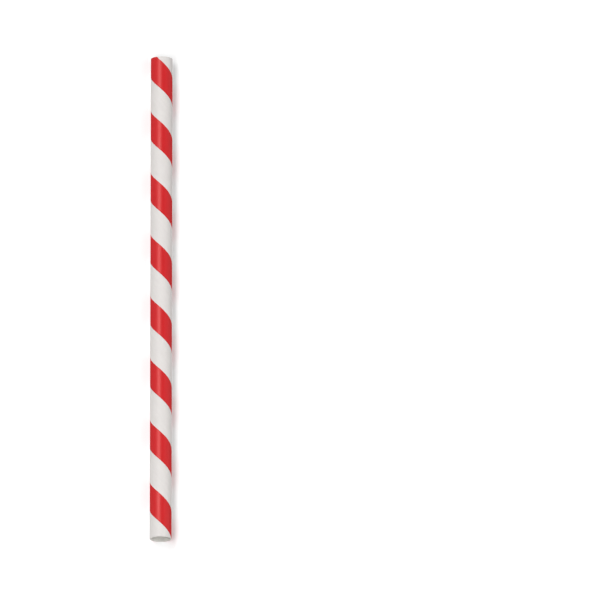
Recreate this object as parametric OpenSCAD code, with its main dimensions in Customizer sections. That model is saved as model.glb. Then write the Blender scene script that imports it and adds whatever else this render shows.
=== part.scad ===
// Paper drinking straw: a tube wound from three glued paper ribbons.
// The outer ribbon, or ply, is white with one red band, so the winding gives a spiral stripe.
// The straw lies on its side along Y, centred, and rests on the plane z = 0 on a small flat.

/* [Straw] */
// Outside diameter
straw_diameter = 12; // [5:0.5:16]
// Length between the two cut ends
straw_length = 275; // [120:5:320]
// Bevel that the knife leaves on the cut edges
edge_bevel = 0.06; // [0.02:0.01:0.08]
// Depth of the flat that the straw has settled on, along its underside
rest_depth = 0.08; // [0.05:0.01:0.09]

/* [Winding] */
// Thickness of one glued ply
ply = 0.16; // [0.1:0.01:0.2]
// Number of plies in the wall
plies = 3; // [3:1:5]
// Advance along the straw in one turn of the winding
lead = 35.45; // [24:0.05:60]
// Gap between the two edges of a ply where they meet
seam_gap = 0.05; // [0.04:0.01:0.3]
// Distance from the far end to the inner ply's seam, along the underside of the bore
inner_seam_start = 4; // [0:0.5:20]

/* [Stripe] */
// Length of straw that the red band covers, measured along the straw
stripe_length = 16.3; // [6:0.1:20]
// Distance from the far end to the stripe's first edge, along the top of the straw
stripe_start = 2.8; // [0:0.1:12]

/* [Hidden] */
// Flat steps that the winding takes in one turn
steps = 24;
// How far a cutting body runs past what it cuts
over = 1;
straw_r = straw_diameter / 2;
bore_r = straw_r - plies * ply;
// Faces that the outer ply and the inner ply are glued to
outer_seat_r = straw_r - ply;
inner_seat_r = bore_r + ply;

// The whole wall, upright on z = 0: turned from its section, with the rest flat along its side 90
module wall_shape() {
  difference() {
    rotate_extrude($fn = 96)
      polygon([
        [bore_r + edge_bevel, 0],
        [straw_r - edge_bevel, 0],
        [straw_r, edge_bevel],
        [straw_r, straw_length - edge_bevel],
        [straw_r - edge_bevel, straw_length],
        [bore_r + edge_bevel, straw_length],
        [bore_r, straw_length - edge_bevel],
        [bore_r, edge_bevel]
      ]);
    translate([-straw_r, straw_r - rest_depth, -over])
      cube([straw_diameter, over, straw_length + 2 * over]);
  }
}

// A core through the upright straw and past both its ends
module core(radius) {
  translate([0, 0, -4 * over])
    cylinder(r = radius, h = straw_length + 8 * over, $fn = 96);
}

// A band that winds left handed round the upright straw, falling by one lead each turn.
// Its section is a rectangle in the plane of the axis, reaching to both sides of the radius seat.
// start is the distance from the far end to its upper edge, at the angle side.
module winding_band(seat, start, band_length, side) {
  top = straw_length - start;
  // The first ring is wholly past the far end, and the last one past the near end
  first = -ceil(steps * (start + band_length + over) / lead);
  last = ceil(steps * (top + over) / lead);
  rings = last - first + 1;
  points = [
    for (i = [first:last])
      let (angle = side + 360 * i / steps, upper = top - lead * i / steps, lower = upper - band_length)
        for (corner = [[-over, upper], [over, upper], [over, lower], [-over, lower]])
          [(seat + corner[0]) * cos(angle), (seat + corner[0]) * sin(angle), corner[1]]
  ];
  // Two triangles on each wall between one ring of four corners and the next.
  // The upper and lower walls are twisted, so both are split along the same diagonal.
  walls = [
    for (ring = [0:rings - 2], k = [0:3])
      let (a = 4 * ring + k, b = 4 * ring + (k + 1) % 4)
        each k < 2 ? [[a, a + 4, b], [b, a + 4, b + 4]] : [[a, a + 4, b + 4], [a, b + 4, b]]
  ];
  z = 4 * (rings - 1);
  ends = [[0, 1, 2], [0, 2, 3], [z, z + 2, z + 1], [z, z + 3, z + 2]];
  polyhedron(points, concat(walls, ends), convexity = 20);
}

// The space that the outer ply takes up over a band of the winding, open to the outside
module outer_ply_band(band_length) {
  difference() {
    winding_band(outer_seat_r, stripe_start, band_length, -90);
    core(outer_seat_r);
  }
}

// The seam of the inner ply, open to the bore
module inner_seam() {
  intersection() {
    winding_band(inner_seat_r, inner_seam_start, seam_gap, 90);
    core(inner_seat_r);
  }
}

// Lays the upright straw down along Y on its flat, with its top end at +Y and its side -90 uppermost
module laid_down() {
  translate([0, -straw_length / 2, straw_r - rest_depth])
    rotate([-90, 0, 0])
      children();
}

// White tube, with the seat of the red band and the seams where each ply's edges meet
module paper_tube() {
  color("#e6e3dd")
    laid_down()
      difference() {
        wall_shape();
        outer_ply_band(stripe_length + seam_gap);
        inner_seam();
      }
}

// Red band of the outer ply, flush with the white paper and glued to the ply below
module red_stripe() {
  color("#cd2d32")
    laid_down()
      intersection() {
        wall_shape();
        outer_ply_band(stripe_length);
      }
}

paper_tube();
red_stripe();
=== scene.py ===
# %% [markdown]
# A striped paper drinking straw.
# The real one is wound from three narrow ribbons of paper on a steel mandrel. The outer ribbon is white with
# one red band printed along its edge, and the winding turns that band into a spiral stripe. A cylinder with a
# striped texture would look alike from afar, but close to it would have no seam, no cut edge and no plies. So
# the form is worked out from a few sizes, as surfaces over two numbers: the angle round the straw and the
# place along it.

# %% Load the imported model
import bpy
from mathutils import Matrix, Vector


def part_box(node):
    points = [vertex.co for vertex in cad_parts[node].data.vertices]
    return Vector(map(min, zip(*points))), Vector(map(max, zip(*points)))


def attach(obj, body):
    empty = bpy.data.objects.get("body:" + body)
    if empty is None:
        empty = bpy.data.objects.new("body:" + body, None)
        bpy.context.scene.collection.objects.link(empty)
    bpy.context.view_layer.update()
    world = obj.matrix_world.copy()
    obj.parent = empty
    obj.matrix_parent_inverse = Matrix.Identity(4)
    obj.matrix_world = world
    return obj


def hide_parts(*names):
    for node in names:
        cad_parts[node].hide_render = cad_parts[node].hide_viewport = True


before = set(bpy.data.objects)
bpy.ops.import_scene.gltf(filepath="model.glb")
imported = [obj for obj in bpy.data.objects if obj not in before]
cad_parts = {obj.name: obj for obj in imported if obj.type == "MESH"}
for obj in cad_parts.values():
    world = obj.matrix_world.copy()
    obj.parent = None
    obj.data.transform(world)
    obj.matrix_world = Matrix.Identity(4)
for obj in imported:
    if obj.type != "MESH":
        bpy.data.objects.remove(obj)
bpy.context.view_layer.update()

# %% Tools for the rest of the lesson
import math
import bmesh
import bpy
import numpy as np
from mathutils import Matrix, Vector


def add_object(name, data):
    """New object of the given data, linked to the scene, at the origin and unturned."""
    made = bpy.data.objects.new(name, data)
    bpy.context.scene.collection.objects.link(made)
    return made


print("Blender", bpy.app.version_string, "numpy", np.__version__)

# %% [markdown]
# The sizes are the straw maker's own: diameter, length, thickness of one ribbon or ply, and the lead, which
# is how far the winding climbs in one turn. The loaded meshes could be measured instead, but that would give
# the box and not the lead or the seams. These are the values of the CAD model, so each surface falls where
# the solid one is. Everything is in metres, as Blender likes it.

# %% Sizes of the straw
MM = 0.001
STRAW_RADIUS = 6 * MM
STRAW_LENGTH = 275 * MM
PLY = 0.16 * MM
PLIES = 3
BORE_RADIUS = STRAW_RADIUS - PLIES * PLY
SEAT_RADIUS = STRAW_RADIUS - PLY
EDGE_BEVEL = 0.06 * MM
REST_DEPTH = 0.08 * MM
AXIS_HEIGHT = STRAW_RADIUS - REST_DEPTH
LEAD = 35.45 * MM
SEAM_GAP = 0.05 * MM
STRIPE_START = 2.8 * MM
STRIPE_LENGTH = 16.3 * MM
INNER_SEAM_START = 4 * MM - LEAD / 2
MIDDLE_SEAM_START = 29 * MM
TURN = 2 * np.pi
low, high = (np.array(corner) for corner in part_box("paper_tube"))
print("CAD tube in mm", np.round(low / MM, 2), "to", np.round(high / MM, 2))

# %% [markdown]
# The camera looks along the straw from its near end and 74 degrees down. The photograph is nearly without
# perspective, because the stripes keep the same spacing from end to end, so the lens is very long and stands
# far off. An orthographic camera would space them as evenly, but it wouldn't give the straw its slight lean.
# The aim is well to the right of the straw, so it is seen at the left, as it is in the photograph.

# %% Camera
PICTURE_PIXELS = 600
PIXEL = 0.551 * MM
VIEW_ELEVATION = math.radians(74)
AIM_X = 76.5 * MM
AIM_Y = -1.0 * MM
LENS_MM = 1000
SENSOR_MM = 36
camera_data = bpy.data.cameras.new("camera")
camera_data.lens = LENS_MM
camera_data.sensor_width = SENSOR_MM
camera = add_object("camera", camera_data)
bpy.context.scene.camera = camera
distance = PICTURE_PIXELS * PIXEL * LENS_MM / SENSOR_MM
camera_data.clip_end = 3 * distance
aim = Vector((AIM_X, AIM_Y, AXIS_HEIGHT))
backwards = Vector((0, -math.cos(VIEW_ELEVATION), math.sin(VIEW_ELEVATION)))
turned = (-backwards).to_track_quat("-Z", "Y").to_matrix().to_4x4()
camera.matrix_world = Matrix.Translation(aim + backwards * distance) @ turned
print("camera distance in m", round(distance, 2))

# %% [markdown]
# No rolled wall is a perfect cylinder. The seams of the plies below press a shallow furrow through the outer
# one, and the winding leaves slow waves. They are only hundredths of a millimetre deep, but a highlight that
# runs along the straw shows them at once. A bump texture could stand in for them on the outside alone. As one
# function of the angle and the place along the straw, they move every surface of the wall together.

# %% How the wall strays from a true cylinder
WAVE_DEPTH = 0.012 * MM
# How often each wave repeats round the straw, its length along it in leads, signed for its hand, its phase
WAVES = ((2, -3, 0.7), (1, 1.37, 2.1), (3, -0.61, 4.0))
FURROW_DEPTH = 0.012 * MM
FURROW_WIDTH = 0.35 * MM
INNER_FURROW_WIDTH = 2 * FURROW_WIDTH
INNER_FURROW_SHARE = 0.5


def beside_helix(theta, w, start):
    """Signed distance along the straw from the nearest turn of a helix that is start from the far end at the
    top: (w - start - lead * theta / turn), wrapped to plus or minus half a lead."""
    return (w - start - LEAD * theta / TURN + LEAD / 2) % LEAD - LEAD / 2


def sink(theta, w):
    """Depth of the wall below the true cylinder: slow waves that run round and along it, each of them
    (1 + cosine) / 2 and all of them averaged, and a bell-shaped furrow over the seam of the middle ply and of
    the inner one."""
    waves = sum(1 + np.cos(around * theta + TURN * w / (leads * LEAD) + phase)
                for around, leads, phase in WAVES) / (2 * len(WAVES))
    middle = np.exp(-(beside_helix(theta, w, MIDDLE_SEAM_START) / FURROW_WIDTH) ** 2)
    inner = np.exp(-(beside_helix(theta, w, INNER_SEAM_START) / INNER_FURROW_WIDTH) ** 2)
    return WAVE_DEPTH * waves + FURROW_DEPTH * (middle + INNER_FURROW_SHARE * inner)


def on_straw(theta, w, radius):
    """Point of the straw. theta runs round from the top towards +X, w is the distance from the far end:
    x = radius * sin theta, y = half the length - w, z = height of the axis + radius * cos theta, not under
    the surface that the straw lies on."""
    x = radius * np.sin(theta)
    y = STRAW_LENGTH / 2 - w
    z = np.maximum(AXIS_HEIGHT + radius * np.cos(theta), 0)
    return np.stack(np.broadcast_arrays(x, y, z), axis=-1)


print("the wall sinks at the top of its middle by, in mm", np.round(sink(0.0, STRAW_LENGTH / 2) / MM, 4))

# %% [markdown]
# A surface here is a sheet of points in rows and columns. A column is one angle round the straw, and a row is
# one line of the wall's section carried round it. Where the last row joins the first, the sheet is a closed
# shell. Rows that would run past a cut end are held at it, so many points fall together there. They are
# merged afterwards, and with them goes the join between the last column and the first. A cylinder cut by a
# Boolean would give slivers along the winding, while here each edge of the paper is an edge of the mesh.

# %% From a sheet of points to a closed shell
COLUMNS = 192
MERGE_DISTANCE = 0.001 * MM
theta = np.linspace(0, TURN, COLUMNS + 1)


def shell(points, alive, finish, ribbon_place):
    """Closed shell from points of shape (turns, rows, columns + 1, 3). alive tells for each turn and column
    whether any of it lies between the ends, finish gives the material of the strip after each row, and
    ribbon_place holds each point's place along and across its ribbon, for the UV map."""
    turns, rows, columns = points.shape[:3]
    number = np.arange(turns * rows * columns).reshape(turns, rows, columns)
    following = np.roll(number, -1, axis=1)
    corners = [number[:, :, :-1], number[:, :, 1:], following[:, :, 1:], following[:, :, :-1]]
    quads = np.stack(corners, axis=-1)
    kept = np.broadcast_to((alive[:, :-1] | alive[:, 1:])[:, None, :], quads.shape[:3])
    quads = quads[kept]
    materials = np.broadcast_to(np.array(finish)[None, :, None], kept.shape)[kept]
    mesh = bpy.data.meshes.new("shell")
    mesh.from_pydata(points.reshape(-1, 3), [], quads)
    mesh.polygons.foreach_set("material_index", materials.astype(np.int32))
    ribbon_map = mesh.uv_layers.new(name="ribbon")
    ribbon_map.data.foreach_set("uv", ribbon_place.reshape(-1, 2)[quads.ravel()].astype(np.float32).ravel())
    merged = bmesh.new()
    merged.from_mesh(mesh)
    bpy.data.meshes.remove(mesh)
    bmesh.ops.remove_doubles(merged, verts=merged.verts, dist=MERGE_DISTANCE)
    bmesh.ops.delete(merged, geom=[v for v in merged.verts if not v.link_faces], context="VERTS")
    if merged.calc_volume(signed=True) < 0:
        bmesh.ops.reverse_faces(merged, faces=merged.faces)
    return merged


print("columns round the straw", COLUMNS)

# %% From shells to a finished object
SHARP_ANGLE = math.radians(32)


def piece(name, shells, materials):
    """Object of the given shells, shaded smooth but for its cut edges, with its materials in order."""
    mesh = bpy.data.meshes.new(name)
    whole = bmesh.new()
    for part in shells:
        single = bpy.data.meshes.new("shell")
        part.to_mesh(single)
        whole.from_mesh(single)
        part.free()
        bpy.data.meshes.remove(single)
    whole.to_mesh(mesh)
    whole.free()
    mesh.shade_smooth()
    mesh.set_sharp_from_angle(angle=SHARP_ANGLE)
    for material in materials:
        mesh.materials.append(material)
    made = add_object(name, mesh)
    mesh.calc_loop_triangles()
    print(name, len(mesh.vertices), "vertices", len(mesh.loop_triangles), "triangles")
    return made


print("an edge is sharp from, in degrees", round(math.degrees(SHARP_ANGLE)))

# %% [markdown]
# Every finish is built from nodes, and the same few kinds of node come back in each. They could be placed by
# hand in the Shader Editor, but a script makes them the same each time. Small helpers do it, so that the
# cells after this one read as the paper does: fibres, clouds, plies and glue.

# %% Helpers for nodes
def group_socket(group, name, direction, kind, default=None):
    """Gives a node group one named input or output."""
    made = group.interface.new_socket(name=name, in_out=direction, socket_type=kind)
    if default is not None:
        made.default_value = default


def math_node(tree, operation, first, second=None, third=None):
    """Output of a Math node fed by sockets or plain numbers."""
    node = tree.nodes.new("ShaderNodeMath")
    node.operation = operation
    for place, value in enumerate((first, second, third)):
        if value is None:
            continue
        if isinstance(value, (int, float)):
            node.inputs[place].default_value = value
        else:
            tree.links.new(value, node.inputs[place])
    return node.outputs[0]


def noise_node(tree, vector, scale, detail, roughness=0.5):
    """A Noise Texture's value on the given coordinates."""
    node = tree.nodes.new("ShaderNodeTexNoise")
    tree.links.new(vector, node.inputs["Vector"])
    node.inputs["Scale"].default_value = scale
    node.inputs["Detail"].default_value = detail
    node.inputs["Roughness"].default_value = roughness
    return node.outputs["Fac"]


def scaled(tree, vector, factors):
    """The vector with each of its parts multiplied by its own factor."""
    node = tree.nodes.new("ShaderNodeVectorMath")
    node.operation = "MULTIPLY"
    tree.links.new(vector, node.inputs[0])
    node.inputs[1].default_value = factors
    return node.outputs["Vector"]


print("helpers ready")

# %% [markdown]
# Paper has two scales that matter. Close to, it is a felt of fibres that lie mostly along the ribbon. From a
# step away, the felt is a faint cloudiness. A picture of paper would repeat, and blur close to, so both come
# from noise, stretched along the ribbon for the fibres. Every material of the straw needs them, so they are
# made once, as a group of nodes. The stretch is a factor on each coordinate: along the ribbon, across it and
# through it.

# %% Node group: paper
LONG_FIBRE_STRETCH = (0.12, 1.0, 1.0)
LONG_FIBRE_SCALE = 9000
LONG_FIBRE_SHARE = 0.6
CROSSING_FIBRE_STRETCH = (1.0, 0.3, 0.6)
CROSSING_FIBRE_SCALE = 5200
CROSSING_FIBRE_SHARE = 0.4
CLOUD_STRETCH = (0.55, 1.0, 1.0)
CLOUD_SCALE = 420
CLOUD_RELIEF = 0.5
paper_group = bpy.data.node_groups.new("paper_felt", "ShaderNodeTree")
group_socket(paper_group, "Place", "INPUT", "NodeSocketVector")
group_socket(paper_group, "Fibres", "INPUT", "NodeSocketFloat", 1.0)
group_socket(paper_group, "Shade", "OUTPUT", "NodeSocketFloat")
group_socket(paper_group, "Relief", "OUTPUT", "NodeSocketFloat")
inputs = paper_group.nodes.new("NodeGroupInput")
outputs = paper_group.nodes.new("NodeGroupOutput")
place = inputs.outputs["Place"]
along_ribbon = scaled(paper_group, place, LONG_FIBRE_STRETCH)
long_fibres = noise_node(paper_group, along_ribbon, LONG_FIBRE_SCALE, detail=3, roughness=0.6)
across_ribbon = scaled(paper_group, place, CROSSING_FIBRE_STRETCH)
crossing_fibres = noise_node(paper_group, across_ribbon, CROSSING_FIBRE_SCALE, detail=2, roughness=0.6)
cloud_place = scaled(paper_group, place, CLOUD_STRETCH)
clouds = noise_node(paper_group, cloud_place, CLOUD_SCALE, detail=3, roughness=0.55)
crossing_part = math_node(paper_group, "MULTIPLY", crossing_fibres, CROSSING_FIBRE_SHARE)
felt = math_node(paper_group, "MULTIPLY_ADD", long_fibres, LONG_FIBRE_SHARE, crossing_part)
felt_centred = math_node(paper_group, "SUBTRACT", felt, 0.5)
felt_swing = math_node(paper_group, "MULTIPLY", felt_centred, inputs.outputs["Fibres"])
cloud_swing = math_node(paper_group, "SUBTRACT", clouds, 0.5)
swing = math_node(paper_group, "ADD", felt_swing, cloud_swing)
shade = math_node(paper_group, "ADD", swing, 0.5)
relief = math_node(paper_group, "MULTIPLY_ADD", clouds, CLOUD_RELIEF, felt_swing)
paper_group.links.new(shade, outputs.inputs["Shade"])
paper_group.links.new(relief, outputs.inputs["Relief"])
print("group", paper_group.name, "with", len(paper_group.nodes), "nodes")

# %% [markdown]
# A knife cuts all three plies at once, so the ring at each end shows them edge on, with a thin line of glue
# between one and the next. Grooves in the mesh could show the same, but the lines are thinner than a hair, so
# they are drawn. The distance from the straw's axis tells which ply a point belongs to. A little noise bends
# the lines, since pressed paper isn't even.

# %% Node group: plies seen edge on
BEND_SCALE = 1600
BEND_DEPTH = 0.08 * MM
# Half the width of a line of glue, as a share of a ply
GLUE_HALF_WIDTH = 0.11
ply_group = bpy.data.node_groups.new("plies_edge_on", "ShaderNodeTree")
group_socket(ply_group, "Place", "INPUT", "NodeSocketVector")
group_socket(ply_group, "Glue", "OUTPUT", "NodeSocketFloat")
group_socket(ply_group, "Ply Shade", "OUTPUT", "NodeSocketFloat")
ply_inputs = ply_group.nodes.new("NodeGroupInput")
ply_outputs = ply_group.nodes.new("NodeGroupOutput")
parts = ply_group.nodes.new("ShaderNodeSeparateXYZ")
ply_group.links.new(ply_inputs.outputs["Place"], parts.inputs[0])
beside_axis = parts.outputs["X"]
above_axis = math_node(ply_group, "SUBTRACT", parts.outputs["Z"], AXIS_HEIGHT)
beside_squared = math_node(ply_group, "MULTIPLY", beside_axis, beside_axis)
above_squared = math_node(ply_group, "MULTIPLY", above_axis, above_axis)
from_axis = math_node(ply_group, "SQRT", math_node(ply_group, "ADD", beside_squared, above_squared))
bend_noise = noise_node(ply_group, ply_inputs.outputs["Place"], BEND_SCALE, detail=2)
bend = math_node(ply_group, "MULTIPLY", math_node(ply_group, "SUBTRACT", bend_noise, 0.5), BEND_DEPTH)
bent_distance = math_node(ply_group, "ADD", from_axis, bend)
plies_out = math_node(ply_group, "DIVIDE", math_node(ply_group, "SUBTRACT", bent_distance, BORE_RADIUS), PLY)
nearest_whole = math_node(ply_group, "MAXIMUM", math_node(ply_group, "ROUND", plies_out), 1)
nearest_glue = math_node(ply_group, "MINIMUM", nearest_whole, PLIES - 1)
from_glue = math_node(ply_group, "ABSOLUTE", math_node(ply_group, "SUBTRACT", plies_out, nearest_glue))
glue_line = math_node(ply_group, "SUBTRACT", 1, math_node(ply_group, "DIVIDE", from_glue, GLUE_HALF_WIDTH))
ply_group.links.new(math_node(ply_group, "MAXIMUM", glue_line, 0), ply_outputs.inputs["Glue"])
from_middle = math_node(ply_group, "ABSOLUTE", math_node(ply_group, "SUBTRACT", plies_out, PLIES / 2))
middle_ply = math_node(ply_group, "LESS_THAN", from_middle, 0.5)
ply_group.links.new(middle_ply, ply_outputs.inputs["Ply Shade"])
print("group", ply_group.name, "with", len(ply_group.nodes), "nodes")

# %% [markdown]
# The straw shows one paper in four states, so one function makes them all, where four separate node trees
# would drift apart. The shade from the group mixes two close colours, moves the roughness a little and lifts
# the fibres with a Bump node. On the cut ends the lines of glue lie lower and darker than the plies, which
# takes the shade below the range of the mix. The roughness rises where a surface turns away from the eye, so
# the mirror image of the white table doesn't wash out the deep red at the straw's sides.

# %% Finish of a paper
GLUE_DARKNESS = 1.6
MIDDLE_PLY_DARKNESS = 0.35
ROUGHNESS_SWING = 0.16
SIDE_ROUGHNESS = 0.9


def paper(name, coordinates, dark, light, roughness, relief_depth, fibres=1.0, specular=0.3,
          gloss_tint=(1, 1, 1)):
    """Material of paper: dark and light are the two linear colours that its shade runs between."""
    material = bpy.data.materials.new(name)
    material.use_nodes = True
    tree = material.node_tree
    principled = tree.nodes["Principled BSDF"]
    if coordinates == "ribbon":
        source = tree.nodes.new("ShaderNodeUVMap")
        source.uv_map = "ribbon"
        place = source.outputs["UV"]
    else:
        place = tree.nodes.new("ShaderNodeTexCoord").outputs["Object"]
    felt_node = tree.nodes.new("ShaderNodeGroup")
    felt_node.node_tree = paper_group
    tree.links.new(place, felt_node.inputs["Place"])
    felt_node.inputs["Fibres"].default_value = fibres
    colours = tree.nodes.new("ShaderNodeMix")
    colours.data_type = "RGBA"
    colours.clamp_factor = coordinates == "ribbon"
    colours.inputs["A"].default_value = (*dark, 1)
    colours.inputs["B"].default_value = (*light, 1)
    shade_source = felt_node.outputs["Shade"]
    relief_source = felt_node.outputs["Relief"]
    if coordinates == "object":
        plies = tree.nodes.new("ShaderNodeGroup")
        plies.node_tree = ply_group
        tree.links.new(place, plies.inputs["Place"])
        glue_shade = math_node(tree, "MULTIPLY", plies.outputs["Glue"], GLUE_DARKNESS)
        darker = math_node(tree, "MULTIPLY_ADD", plies.outputs["Ply Shade"], MIDDLE_PLY_DARKNESS, glue_shade)
        shade_source = math_node(tree, "SUBTRACT", shade_source, darker)
        relief_source = math_node(tree, "SUBTRACT", relief_source, plies.outputs["Glue"])
    tree.links.new(shade_source, colours.inputs["Factor"])
    tree.links.new(colours.outputs["Result"], principled.inputs["Base Color"])
    least_rough = roughness - ROUGHNESS_SWING / 2
    rougher = math_node(tree, "MULTIPLY_ADD", felt_node.outputs["Shade"], ROUGHNESS_SWING, least_rough)
    turned_away = tree.nodes.new("ShaderNodeLayerWeight").outputs["Facing"]
    rougher = math_node(tree, "MULTIPLY_ADD", turned_away, SIDE_ROUGHNESS, rougher)
    tree.links.new(rougher, principled.inputs["Roughness"])
    principled.inputs["Specular IOR Level"].default_value = specular
    principled.inputs["Specular Tint"].default_value = (*gloss_tint, 1)
    bump = tree.nodes.new("ShaderNodeBump")
    bump.inputs["Distance"].default_value = relief_depth
    tree.links.new(relief_source, bump.inputs["Height"])
    tree.links.new(bump.outputs["Normal"], principled.inputs["Normal"])
    return material


print("glue is darker than paper by, in shares of the mix", GLUE_DARKNESS)

# %% [markdown]
# The outer ply is coated, so it is smooth and satin. The red is a film of ink on it. A plain white gloss
# would turn its sides and its highlight pink, so its gloss is warm. The cut ends and the bore are bare paper,
# rougher, with fibres that show more.

# %% The four papers
coated_white = paper("coated_white_paper", "ribbon", (0.68, 0.65, 0.63), (0.76, 0.73, 0.71), 0.50, 0.016 * MM,
                     specular=0.35)
printed_red = paper("red_printed_paper", "ribbon", (0.50, 0.001, 0.004), (0.56, 0.002, 0.007), 0.35,
                    0.013 * MM, specular=0.8, gloss_tint=(1, 0.53, 0.5))
cut_paper = paper("cut_paper_edge", "object", (0.70, 0.69, 0.65), (0.84, 0.83, 0.80), 0.75, 0.02 * MM,
                  fibres=1.6)
bare_paper = paper("bare_bore_paper", "ribbon", (0.72, 0.70, 0.66), (0.82, 0.80, 0.76), 0.70, 0.012 * MM,
                   fibres=1.3)
print("materials", [m.name for m in (coated_white, printed_red, cut_paper, bare_paper)])

# %% [markdown]
# The outer ply is a ribbon laid on a helix, so it is a profile across the ribbon carried along a helical
# path. Its white part and its red band are two such ribbons side by side. The profile goes across the
# outside, down one cut edge, back along the glued side and up the other edge. A Screw modifier could sweep it
# too, but it would run on past the ends, where the knife cuts square across the winding. Here the rows turn
# with the helix, and the ones past an end are held at it, which leaves the small bevel of the knife there.

# %% A ribbon of the outer ply
WHOLE_TURNS = math.ceil(STRAW_LENGTH / LEAD)
TURNS = np.arange(-2, WHOLE_TURNS + 1)
RED_ROWS = 19
WHITE_ROWS = 22
EDGE_WANDER = 0.03 * MM
# Each wave of the printed edge: how often it comes in one turn of the angle, its phase and its share
EDGE_WAVES = ((3.7, 0.4, 0.6), (9.1, 1.9, 0.4))
OUTSIDE_SLOT = 0
CUT_SLOT = 1
BORE_SLOT = 2


def print_edge(theta, turn):
    """How far the printed edge strays from a true helix: the sum of two small waves along the ribbon."""
    along = theta + TURN * turn
    return EDGE_WANDER * sum(np.sin(count * along + phase) * share for count, phase, share in EDGE_WAVES)


def ribbon(first_edge, last_edge, first_is_print, last_is_print, rows):
    """Ribbon of the outer ply between two distances from the winding's start. A row's distance from the far
    end is (its place across the ribbon + lead * (theta / turn + number of the turn)), held between the two
    ends. An edge that is printed wanders, and a cut one is straight."""
    across = np.linspace(0, 1, rows)
    places = np.concatenate([across, [1, 1, 0, 0]])
    radii = np.concatenate([np.full(rows, STRAW_RADIUS), [
        STRAW_RADIUS - EDGE_BEVEL, SEAT_RADIUS, SEAT_RADIUS, STRAW_RADIUS - EDGE_BEVEL]])
    margins = np.concatenate([np.full(rows, EDGE_BEVEL), np.zeros(4)])
    finish = [OUTSIDE_SLOT] * (rows - 1) + [CUT_SLOT] * (len(radii) - rows + 1)
    turn = TURNS[:, None, None]
    angle = theta[None, None, :]
    strays = print_edge(angle, turn)
    from_edge = first_edge + strays * first_is_print
    to_edge = last_edge + strays * last_is_print
    place = from_edge + (to_edge - from_edge) * places[None, :, None]
    free = place + LEAD * (angle / TURN + turn)
    w = np.clip(free, margins[None, :, None], STRAW_LENGTH - margins[None, :, None])
    radius = radii[None, :, None] - sink(angle, w)
    alive = (free.max(axis=1) > 0) & (free.min(axis=1) < STRAW_LENGTH)
    along = np.broadcast_to(STRAW_RADIUS * (angle + TURN * turn), w.shape)
    ribbon_place = np.stack([along, w - LEAD * (angle / TURN + turn)], axis=-1)
    return shell(on_straw(angle, w, radius), alive, finish, ribbon_place)


print("turns from end to end", round(STRAW_LENGTH / LEAD, 2))

# %% The red ribbon and the white one
stripe_end = STRIPE_START + STRIPE_LENGTH
red_ribbon = ribbon(STRIPE_START, stripe_end, True, False, RED_ROWS)
white_ribbon = ribbon(stripe_end + SEAM_GAP - LEAD, STRIPE_START, False, True, WHITE_ROWS)
print("ribbons", len(red_ribbon.faces), "and", len(white_ribbon.faces), "faces")

# %% [markdown]
# Under the outer ply lie the other two, glued into one tube. Its section is a closed line: along the outside,
# over the cut end, back through the bore and over the other end. A painted line could stand for the seam of
# the inner ply, but at the rim it would give itself away as flat. So in the bore the rows turn with the
# winding, and the seam is a true groove between two edges. The cut ends get a fine roughness, because a knife
# tears the fibres a little where it parts them.

# %% Roughness of a cut end
KNIFE_ROUGHNESS = 0.02 * MM
TEAR_ACROSS = 9.0
TEAR_BEND = 3
TEAR_BENDS_ROUND = 17
TEARS_ROUND = (48, 29)


def torn(theta, radius, phase):
    """Roughness of a cut face: the product of a bent wave across the wall and the average of two waves round
    the straw, brought from 0 to 1 and squared."""
    across = np.sin(radius / PLY * TEAR_ACROSS + TEAR_BEND * np.sin(TEAR_BENDS_ROUND * theta + phase))
    first, second = TEARS_ROUND
    around = np.sin(first * theta + phase) * 0.5 + np.sin(second * theta + 2 * phase) * 0.5
    return ((1 + across * around) / 2) ** 2 * KNIFE_ROUGHNESS


print("the knife's tears are at most, in mm", round(KNIFE_ROUGHNESS / MM, 3))

# %% Rows outside and over the ends
OUTER_ROWS = 56
FACE_ROWS = 9
NEAR_PHASE = 0.3
FAR_PHASE = 1.7


def flat_rows(w, radius):
    """Rows of constant distance from the far end and constant radius, as two arrays of rows by columns."""
    w, radius = np.broadcast_arrays(np.asarray(w, float), np.asarray(radius, float))
    return np.repeat(w[:, None], COLUMNS + 1, axis=1), np.repeat(radius[:, None], COLUMNS + 1, axis=1)


outer_w, outer_radius = flat_rows(np.linspace(0, STRAW_LENGTH, OUTER_ROWS), SEAT_RADIUS)
face_radii = np.linspace(SEAT_RADIUS, BORE_RADIUS + EDGE_BEVEL, FACE_ROWS)[1:]
near_w, near_radius = flat_rows(STRAW_LENGTH, face_radii)
near_w = near_w - torn(theta[None, :], near_radius, NEAR_PHASE)
far_w, far_radius = flat_rows(0.0, face_radii[::-1])
far_w = far_w + torn(theta[None, :], far_radius, FAR_PHASE)
print("rows outside and over the ends", len(outer_w) + len(near_w) + len(far_w))

# %% Rows of the bore, with the seam of the inner ply
BORE_ROWS_PER_TURN = 10
turns_in_bore = np.arange(WHOLE_TURNS + 1, -3, -1)
seam_places = np.array([1.0, 1.0, 0.0, 0.0]) * SEAM_GAP
seam_radii = np.array([BORE_RADIUS, BORE_RADIUS + PLY, BORE_RADIUS + PLY, BORE_RADIUS])
between = np.linspace(LEAD, SEAM_GAP, BORE_ROWS_PER_TURN + 1)[1:-1]
bore_places = np.concatenate([between, seam_places])
bore_radii = np.concatenate([np.full(len(between), BORE_RADIUS), seam_radii])
bore_turn = np.repeat(turns_in_bore, len(bore_places))
free_w = (INNER_SEAM_START + np.tile(bore_places, len(turns_in_bore)))[:, None] + LEAD * (
    theta[None, :] / TURN + bore_turn[:, None])
bore_w = np.clip(free_w, EDGE_BEVEL, STRAW_LENGTH - EDGE_BEVEL)
bore_radius = np.where(bore_w == free_w, np.tile(bore_radii, len(turns_in_bore))[:, None], BORE_RADIUS)
print("rows of the bore", len(bore_w))

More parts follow.
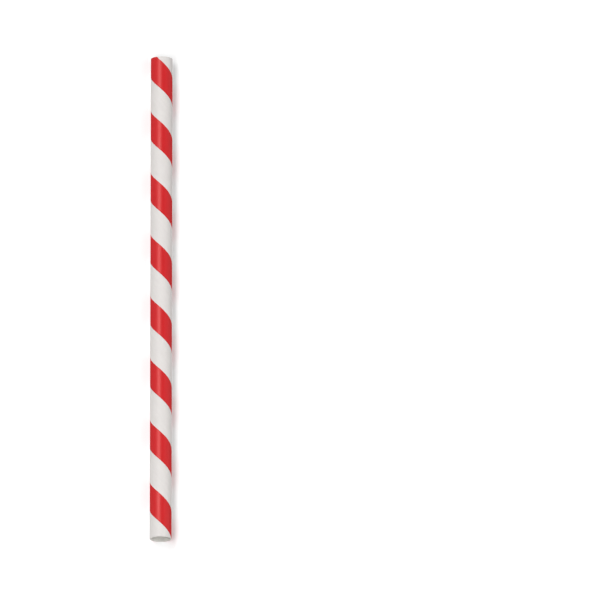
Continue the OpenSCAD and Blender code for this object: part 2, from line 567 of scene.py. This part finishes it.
# %% The two inner plies
all_w = np.concatenate([outer_w, near_w, bore_w, far_w])[None]
all_radius = np.concatenate([outer_radius, near_radius, bore_radius, far_radius])[None]
row_finish = [CUT_SLOT] * (len(outer_w) + len(near_w)) + [BORE_SLOT] * (len(bore_w) - 1) + [
    CUT_SLOT] * (len(far_w) + 1)
row_turn = np.concatenate([np.zeros(len(outer_w) + len(near_w)), bore_turn, np.zeros(len(far_w))])
wound_angle = theta[None, None, :] + TURN * row_turn[None, :, None]
inner_place = np.stack([BORE_RADIUS * wound_angle, all_w - LEAD * wound_angle / TURN], axis=-1)
all_points = on_straw(theta[None, None, :], all_w, all_radius - sink(theta[None, None, :], all_w))
inner_plies = shell(all_points, np.ones((1, COLUMNS + 1), bool), row_finish, inner_place)
print("inner plies", len(inner_plies.faces), "faces")

# %% [markdown]
# The white part of the outer ply and the two inner plies are one piece here, as in the CAD model, and the red
# band is the other. The CAD meshes could be kept and only painted, but they have no furrows, no torn fibres
# and no fine edge of print. So each piece takes the place of its CAD node, which stays behind for collision.

# %% The two finished pieces
paper_tube = piece("wound_paper_tube", [white_ribbon, inner_plies], [coated_white, cut_paper, bare_paper])
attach(paper_tube, "root")
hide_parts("paper_tube")
red_band = piece("printed_red_band", [red_ribbon], [printed_red, cut_paper])
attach(red_band, "root")
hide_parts("red_stripe")

# %% [markdown]
# The straw lies on a white table. Stronger lamps could turn the table white, but they would bleach the paper
# as well. So its paint is a pale grey that takes the shadow, and a little glow, which only the camera and
# mirror-like surfaces see, lifts it to plain white. The paper's own colour gets nothing from that glow.

# %% Mask for what only the picture shows
def seen_in_picture(tree):
    """Mask that is 1 for rays of the camera, of mirror images and of what shows through glass, and 0 for
    light on its way to a surface: the greatest of the three kinds of ray, each of which is 1 or 0."""
    rays = tree.nodes.new("ShaderNodeLightPath")
    mirrored = math_node(tree, "MAXIMUM", rays.outputs["Is Glossy Ray"], rays.outputs["Is Transmission Ray"])
    return math_node(tree, "MAXIMUM", rays.outputs["Is Camera Ray"], mirrored)


print("mask ready")

# %% Table
TABLE_HALF = 3.0
TABLE_GREY = (0.83, 0.83, 0.83, 1)
TABLE_ROUGHNESS = 0.9
TABLE_GLOW = 0.25
WHITE = (1, 1, 1, 1)
table_mesh = bpy.data.meshes.new("table")
table_corners = [(x * TABLE_HALF, y * TABLE_HALF, 0) for x, y in ((-1, -1), (1, -1), (1, 1), (-1, 1))]
table_mesh.from_pydata(table_corners, [], [(0, 1, 2, 3)])
table = add_object("table", table_mesh)
table_paint = bpy.data.materials.new("table_paint")
table_paint.use_nodes = True
table_tree = table_paint.node_tree
table_principled = table_tree.nodes["Principled BSDF"]
table_principled.inputs["Base Color"].default_value = TABLE_GREY
table_principled.inputs["Roughness"].default_value = TABLE_ROUGHNESS
table_principled.inputs["Specular IOR Level"].default_value = 0.0
table_principled.inputs["Emission Color"].default_value = WHITE
glow = math_node(table_tree, "MULTIPLY", seen_in_picture(table_tree), TABLE_GLOW)
table_tree.links.new(glow, table_principled.inputs["Emission Strength"])
table_mesh.materials.append(table_paint)
print("table", 2 * TABLE_HALF, "m wide")

# %% [markdown]
# The light is that of a product table. The room gives only a little even light, though the camera sees it
# white. A long soft strip hangs above the straw, parallel to it and to its left, and draws the highlight that
# runs down the left of the middle. A small lamp or a sun would draw a thin hard line there, which satin paper
# doesn't show. A wide soft fill on the right keeps that side nearly as light. Both stand more to the sides
# than in front of the near end, so the bore stays in shade there.

# %% Room
ROOM_LIGHT = 0.05
world = bpy.data.worlds.new("room")
bpy.context.scene.world = world
world.use_nodes = True
world_tree = world.node_tree
world_background = world_tree.nodes["Background"]
strength = math_node(world_tree, "MULTIPLY_ADD", seen_in_picture(world_tree), 1 - ROOM_LIGHT, ROOM_LIGHT)
world_tree.links.new(strength, world_background.inputs["Strength"])
world_background.inputs["Color"].default_value = WHITE
print("room light", ROOM_LIGHT)

# %% Lamps
STRIP_POWER = 43
STRIP_WIDTH = 0.8
STRIP_LENGTH = 3.4
STRIP_HEIGHT = 1.7
STRIP_TILT = math.radians(23)
FILL_POWER = 30
FILL_WIDTH = 2.4
FILL_PLACE = Vector((1.7, -0.8, 1.2))


def area_lamp(name, power, width, length, place, turn):
    """Rectangular soft lamp at a place, turned by three angles. Its length runs along its own Y."""
    lamp = bpy.data.lights.new(name, "AREA")
    lamp.shape = "RECTANGLE"
    lamp.size = width
    lamp.size_y = length
    lamp.energy = power
    made = add_object(name, lamp)
    made.location = place
    made.rotation_euler = turn
    print("lamp", name, power, "W")


strip_place = (-STRIP_HEIGHT * math.tan(STRIP_TILT), 0, STRIP_HEIGHT)
area_lamp("strip", STRIP_POWER, STRIP_WIDTH, STRIP_LENGTH, strip_place, (0, -STRIP_TILT, 0))
towards_straw = (-FILL_PLACE).to_track_quat("-Z", "Y").to_euler()
area_lamp("fill", FILL_POWER, FILL_WIDTH, FILL_WIDTH, FILL_PLACE, towards_straw)
bpy.context.scene.view_settings.view_transform = "Standard"
